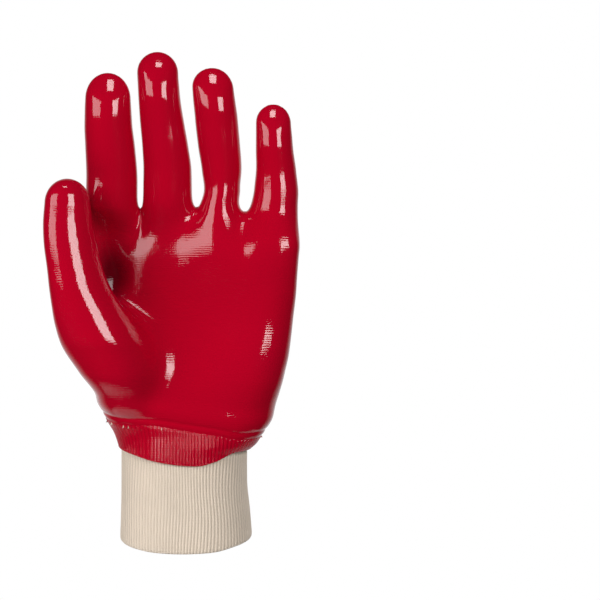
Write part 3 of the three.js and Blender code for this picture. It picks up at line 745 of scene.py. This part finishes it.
def telegraph_group():
    """What shows of the liner through the coat, from object coordinates in metres: level
    courses and fainter upright wales, both wandering and fading in and out."""
    group = bpy.data.node_groups.new("liner_under_coat", "ShaderNodeTree")
    group.interface.new_socket("Vector", in_out="INPUT", socket_type="NodeSocketVector")
    group.interface.new_socket("Course Pitch", in_out="INPUT", socket_type="NodeSocketFloat")
    group.interface.new_socket("Height", in_out="OUTPUT", socket_type="NodeSocketFloat")
    start = group.nodes.new("NodeGroupInput")
    end = group.nodes.new("NodeGroupOutput")
    place = start.outputs["Vector"]
    split = group.nodes.new("ShaderNodeSeparateXYZ")
    link(group, place, split.inputs[0])
    wander = noise_node(group, place, scale=60)
    level = math_node(group, "MULTIPLY_ADD", wander, course_wander * mm, split.outputs["Z"])
    turns = math_node(group, "DIVIDE", level, start.outputs["Course Pitch"])
    course = math_node(group, "SINE", math_node(group, "MULTIPLY", turns, 2 * pi))
    beside = math_node(group, "MULTIPLY_ADD", wander, wale_wander * mm, split.outputs["X"])
    wale_turns = math_node(group, "DIVIDE", beside, start.outputs["Course Pitch"])
    wale = math_node(group, "SINE", math_node(group, "MULTIPLY", wale_turns, 2 * pi))
    broken = noise_node(group, place, scale=420, detail=3, roughness=0.6)
    knit = math_node(group, "MULTIPLY_ADD", wale, wale_share, course)
    on_palm = group.nodes.new("ShaderNodeMapRange")
    on_palm.inputs["From Min"].default_value = liner_fade[1] * mm
    on_palm.inputs["From Max"].default_value = liner_fade[0] * mm
    on_palm.inputs["To Min"].default_value = liner_on_fingers
    link(group, split.outputs["Z"], on_palm.inputs["Value"])
    shown = math_node(group, "MULTIPLY", math_node(group, "MULTIPLY", knit, broken), on_palm)
    link(group, shown, end.inputs["Height"])
    return group


liner_relief = telegraph_group()


def fold_shade_group():
    """How near a point is to the fold between thumb and palm, from object coordinates in
    metres: 1 in its middle and 0 beyond its reach. It places the painted shade there."""
    group = bpy.data.node_groups.new("thumb_fold_shade", "ShaderNodeTree")
    group.interface.new_socket("Vector", in_out="INPUT", socket_type="NodeSocketVector")
    group.interface.new_socket("Mask", in_out="OUTPUT", socket_type="NodeSocketFloat")
    vector = group.nodes.new("NodeGroupInput").outputs["Vector"]
    for operation, values in (("SUBTRACT", fold_shade_middle), ("DIVIDE", fold_shade_reach)):
        node = group.nodes.new("ShaderNodeVectorMath")
        node.operation = operation
        link(group, vector, node.inputs[0])
        node.inputs[1].default_value = [value * mm for value in values]
        vector = node.outputs[0]
    length = group.nodes.new("ShaderNodeVectorMath")
    length.operation = "LENGTH"
    link(group, vector, length.inputs[0])
    near = group.nodes.new("ShaderNodeMapRange")
    near.interpolation_type = "SMOOTHSTEP"
    near.inputs["From Min"].default_value = 1
    near.inputs["From Max"].default_value = fold_shade_core
    link(group, length.outputs["Value"], near.inputs["Value"])
    link(group, near, group.nodes.new("NodeGroupOutput").inputs["Mask"])
    return group


thumb_fold_shade = fold_shade_group()


def coat_material(name, ribbed):
    """Glossy plasticised PVC. Its colour is deeper in patches where the coat is thicker, and
    painted shade darkens it in the fold between thumb and palm.
    """
    material, tree, shader = new_material(name)
    place = object_coordinates(tree)
    relief = tree.nodes.new("ShaderNodeGroup")
    relief.node_tree = liner_relief
    relief.inputs["Course Pitch"].default_value = liner_pitch * mm
    link(tree, place, relief.inputs["Vector"])
    patches = noise_node(tree, place, scale=22, detail=3)
    fold = tree.nodes.new("ShaderNodeGroup")
    fold.node_tree = thumb_fold_shade
    link(tree, place, fold.inputs["Vector"])
    colour = mix_colours(tree, patches, coat_red, coat_deep_red)
    # Painted shade: the colour goes nearly black in the fold between thumb and palm
    colour = mix_colours(tree, fold, colour, painted_fold_shade)
    shader.inputs["Roughness"].default_value = 0.07
    shader.inputs["IOR"].default_value = 1.5
    normal = bump_node(tree, noise_node(tree, place, scale=130), distance=0.00012)
    normal = bump_node(tree, relief.outputs["Height"], distance=0.000022, below=normal)
    if ribbed:
        knit = tree.nodes.new("ShaderNodeGroup")
        knit.node_tree = stitches
        uv = tree.nodes.new("ShaderNodeUVMap")
        uv.uv_map = "knit"
        link(tree, uv, knit.inputs["Vector"])
        normal = bump_node(tree, knit.outputs["Height"], distance=0.0002, below=normal)
        # Painted shade: the coat goes dark red in the knit's holes and grooves
        hole = math_node(tree, "MULTIPLY", knit.outputs["Hole"], 0.6)
        colour = mix_colours(tree, hole, colour, tinted(coat_deep_red, 0.35))
    link(tree, colour, shader.inputs["Base Color"])
    link(tree, normal, shader.inputs["Normal"])
    return material


def liner_uv(points, quads, pitch):
    """A knit map for the liner: wales by place round the hand, courses by height."""
    u = (points[:, 0] + points[:, 1])[quads] / pitch
    v = points[:, 2][quads] / pitch
    return np.stack([u, v], axis=-1)


coat_red_gloss = coat_material("red_pvc_coat", ribbed=False)
liner_cotton = cotton_material("liner_jersey", cotton, cotton_shade, fuzz=0.4)
hand_points, hand_quads = coat_skin()
hand = add_piece("coated_hand_skin", hand_points, hand_quads, coat_red_gloss,
                 liner_uv(hand_points, hand_quads, liner_pitch))
hand.data.materials.append(liner_cotton)
wall = hand.modifiers.new("wall", "SOLIDIFY")
wall.thickness = coat_wall * mm
wall.offset = -1
wall.material_offset = 1
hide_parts("coated_hand")
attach(hand, "root")


# COAT OVER THE CUFF
# Below the wrist seam the dip runs down over the top of the cuff. The coat is thinner here,
# sinks into the ribs, and ends in a wavy line where the dipping stopped.
skirt_wall = 0.55
skirt_levels = 34  # rings of points from its top to the dip line
bead_levels = 7
skirt_rib_samples = 5
rib_show = 0.8  # depth of the grooves in it, share of the cuff's
wrist_radii = (15, 58)  # the wrist's face lies between these
wrist_halvings = 22


def face_between(place, near, far, halvings):
    """How far the coat's face is, halving the interval from near, inside it, to far. Place
    gives the points at a distance."""
    for _ in range(halvings):
        half = (near + far) / 2
        within = coat_distance(*place(half)) < 0
        near, far = np.where(within, half, near), np.where(within, far, half)
    return (near + far) / 2


def coat_radius(turn, z):
    """Distance from the wrist's axis to the coat's face at an angle and height."""
    near, far = (np.full(turn.shape, float(radius)) for radius in wrist_radii)
    return face_between(lambda r: (r * np.cos(turn), r * np.sin(turn), z), near, far,
                        wrist_halvings)


def coat_skirt():
    """A closed profile carried round the wrist, from under the hand's skin down to the dip
    line, round its bead and up the inside. The cuff's ribs show in it, least at the seam."""
    turns = rib_count * skirt_rib_samples
    outer = np.linspace(1, 0.0, skirt_levels)
    bead = np.linspace(0, pi, bead_levels)[1:-1]
    share = np.concatenate([outer, 0 * bead, outer[::-1]])
    half_wall = skirt_wall / 2
    inward = np.concatenate([0 * outer, half_wall * (1 - np.cos(bead)), skirt_wall + 0 * outer])
    drop = np.concatenate([0 * outer, half_wall * np.sin(bead), 0 * outer])
    turn, row = np.meshgrid(np.arange(turns) * 2 * pi / turns, np.arange(len(share)))
    _, dip, seam = wrist_heights(turn)
    top = seam - skirt_tuck_end + tuck_height
    z = dip + (top - dip) * share[row] - drop[row]
    phase = turn / (2 * pi) * rib_count
    depth = rib_relief * rib_show * (1 - share[row] ** 2)
    radius = coat_radius(turn, z) - inward[row] - depth * (1 - rib_profile(phase))
    radius = radius - tuck * np.clip((z - seam + skirt_tuck_end) / tuck_height, 0, 1)
    points = np.stack([radius * np.cos(turn), radius * np.sin(turn), z], axis=-1)
    quads = grid_faces(len(share), turns, close_rows=True, close_columns=True)
    u = unwrapped(phase.ravel(), quads, rib_count)
    v = (z / course_pitch).ravel()[quads]
    return points.reshape(-1, 3), quads[:, ::-1], np.stack([u, v], axis=-1)[:, ::-1]


skirt_points, skirt_quads, skirt_uv = coat_skirt()
red_gloss_on_rib = coat_material("red_pvc_on_rib", ribbed=True)
skirt = add_piece("coat_over_cuff", skirt_points, skirt_quads, red_gloss_on_rib, skirt_uv)
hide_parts("coated_hand")
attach(skirt, "root")


# BACK PRINT
# Gold ink screened on the back of the hand after dipping: a rounded frame round plain bars
# and a size number. The ink stands a little proud of the coat.
ink_height = 0.13
ink_root = 0.25  # how far its edges go into the coat
ink_gold = (0.50, 0.27, 0.03)
print_middle = (2.8, 130.8)  # across and up
frame_side = 24.2
frame_corner = 3.2
frame_line = 0.9
# Middle across and up from the print's, length and thickness
print_bars = [
    (0, 16.5, 38, 3.4),
    (-8.5, 0.5, 21, 2.0),
    (13.5, 0.5, 12, 2.0),
    (-12.5, -6.0, 13, 1.2),
    (12.5, -6.0, 14, 1.2),
    (-12.5, -9.5, 13, 1.2),
    (12.5, -9.5, 14, 1.2),
    (-8.5, -17.0, 21, 1.8),
    (13.5, -17.0, 12, 1.8),
]
number_middle = (-6, 9)
number_radius = 2.7
number_line = 1.3
number_tail = (2, 2.2, -0.62 * pi)  # its curve's width and height, shares of the radius; sweep
back_depths = (3, 45)  # the back's face lies between these
back_halvings = 18
ink_step = 0.8  # between points along a bar
frame_points = 240
bowl_points = 32
tail_points = 16


def back_of_coat(x, z):
    """Place front to back of the coat's face on the back of the hand."""
    near, far = (np.full(x.shape, float(depth)) for depth in back_depths)
    return face_between(lambda y: (x, y, z), near, far, back_halvings)


def ink_strip(x, z, width, closed=False):
    """A strip along a path, as read from behind. Across it the ink rises from inside the
    coat, runs level and goes down again, and so it does at the ends of an open path."""
    if closed:
        dx, dz = np.roll(x, -1) - np.roll(x, 1), np.roll(z, -1) - np.roll(z, 1)
        row, raised = np.arange(len(x)), np.ones(len(x), bool)
    else:
        dx, dz = np.gradient(x), np.gradient(z)
        row = np.r_[0, np.arange(len(x)), len(x) - 1]
        raised = np.r_[False, np.ones(len(x), bool), False]
    length = np.hypot(dx, dz)
    across = np.array([-1, -1, -0.5, 0, 0.5, 1, 1]) * width / 2
    level = np.array([False, True, True, True, True, True, False])
    px = print_middle[0] - (x[row, None] - (dz / length)[row, None] * across)
    pz = (z[row, None] + (dx / length)[row, None] * across) + print_middle[1]
    lift = np.where(raised[:, None] & level, ink_height, -ink_root)
    points = np.stack([px, back_of_coat(px, pz) + lift, pz], axis=-1).reshape(-1, 3)
    return points, grid_faces(len(row), len(across), close_rows=closed)[:, ::-1]


def frame_edge(wave):
    """One coordinate of the rounded frame from a cosine or sine: a wider circle clipped to
    the flat of the sides, plus the corners' own circle."""
    flat = frame_side - frame_corner
    return np.clip(1.5 * frame_side * wave, -flat, flat) + frame_corner * wave


frame_turn = np.linspace(0, 2 * pi, frame_points, endpoint=False)
bowl_turn = np.linspace(0, 2 * pi, bowl_points, endpoint=False)
number_x, number_z = number_middle
tail_width, tail_height, tail_sweep = number_tail
tail_turn = np.linspace(0, tail_sweep, tail_points)
strips = [
    ink_strip(frame_edge(np.cos(frame_turn)), frame_edge(np.sin(frame_turn)), frame_line,
              closed=True),
    ink_strip(number_x + number_radius * np.cos(bowl_turn),
              number_z + number_radius * np.sin(bowl_turn), number_line, closed=True),
    ink_strip(number_x - number_radius + tail_width * number_radius * np.cos(tail_turn),
              number_z + tail_height * number_radius * np.sin(tail_turn), number_line),
]
for across, up, length, thickness in print_bars:
    path = np.linspace(-length / 2, length / 2, round(length / ink_step))
    strips.append(ink_strip(across + path, up + 0 * path, thickness))
ink_points = np.concatenate([points for points, _ in strips])
starts = np.cumsum([0] + [len(points) for points, _ in strips[:-1]])
ink_quads = np.concatenate([quads + start for (_, quads), start in zip(strips, starts)])
gold_ink, _, ink_shader = new_material("gold_ink")
ink_shader.inputs["Base Color"].default_value = (*ink_gold, 1)
ink_shader.inputs["Roughness"].default_value = 0.42
back_print = add_piece("back_print", ink_points, ink_quads, gold_ink)
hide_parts("coated_hand")
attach(back_print, "root")


# STUDIO
# A pale floor well below the glove, a white surround, a soft box overhead and one to each
# side in front. Two more boxes fill the shade and don't show in the shine.
glove_middle = Vector((0, 0, 0.14))


def soft_box(name, azimuth, elevation, distance, size, power, mirrored=True):
    """A rectangular light that faces the glove's middle, placed by direction. One that isn't
    mirrored lights the glove but doesn't show in its shine."""
    a, e = radians(azimuth), radians(elevation)
    way = Vector((sin(a) * cos(e), -cos(a) * cos(e), sin(e)))
    data = bpy.data.lights.new(name, "AREA")
    data.shape = "RECTANGLE"
    data.size, data.size_y = size
    data.energy = power
    lamp = bpy.data.objects.new(name, data)
    lamp.location = glove_middle + way * distance
    lamp.visible_glossy = mirrored
    lamp.rotation_euler = (-way).to_track_quat("-Z", "Y").to_euler()
    bpy.context.scene.collection.objects.link(lamp)


soft_box("top_box", 0, 66, 1.2, (0.28, 0.16), 1.5)
soft_box("left_box", -50, 20, 1.4, (0.9, 0.6), 8)
soft_box("right_box", 33, 21, 1.4, (0.58, 0.6), 11.5)
soft_box("fill_box", -48, -26, 0.55, (0.5, 0.35), 1.3, mirrored=False)
soft_box("back_fill_box", 155, 20, 1.2, (0.8, 0.8), 7, mirrored=False)

# The surround is white to the camera; the shine mirrors only the part behind the glove
world = bpy.data.worlds.new("studio")
bpy.context.scene.world = world
world.use_nodes = True
sky = world.node_tree
direction = sky.nodes.new("ShaderNodeTexCoord").outputs["Generated"]
parts = sky.nodes.new("ShaderNodeSeparateXYZ")
link(sky, direction, parts.inputs[0])
behind = sky.nodes.new("ShaderNodeMapRange")
behind.inputs["From Min"].default_value = 0.5
behind.inputs["From Max"].default_value = 0.95
behind.inputs["To Min"].default_value = 0.015
behind.inputs["To Max"].default_value = 0.8
link(sky, parts.outputs["Y"], behind.inputs["Value"])
seen = sky.nodes.new("ShaderNodeLightPath").outputs["Is Camera Ray"]
strength = math_node(sky, "MAXIMUM", behind.outputs[0], seen)
link(sky, strength, sky.nodes["Background"].inputs["Strength"])
sky.nodes["Background"].inputs["Color"].default_value = (1, 1, 1, 1)

floor_mesh = bpy.data.meshes.new("floor")
floor_radius = 0.26
floor_level = -0.22
floor_back = 0.16  # how far its middle lies behind the glove's
floor_sides = 96
floor_turns = np.arange(floor_sides) * 2 * pi / floor_sides
floor_mesh.from_pydata([(floor_radius * cos(t), floor_back + floor_radius * sin(t), floor_level)
                        for t in floor_turns], [], [tuple(range(floor_sides))])
floor = bpy.data.objects.new("floor", floor_mesh)
bpy.context.scene.collection.objects.link(floor)
pale, _, pale_shader = new_material("pale_floor")
pale_shader.inputs["Base Color"].default_value = (0.9, 0.9, 0.9, 1)
pale_shader.inputs["Roughness"].default_value = 0.8
floor_mesh.materials.append(pale)

bpy.context.scene.view_settings.view_transform = "Standard"
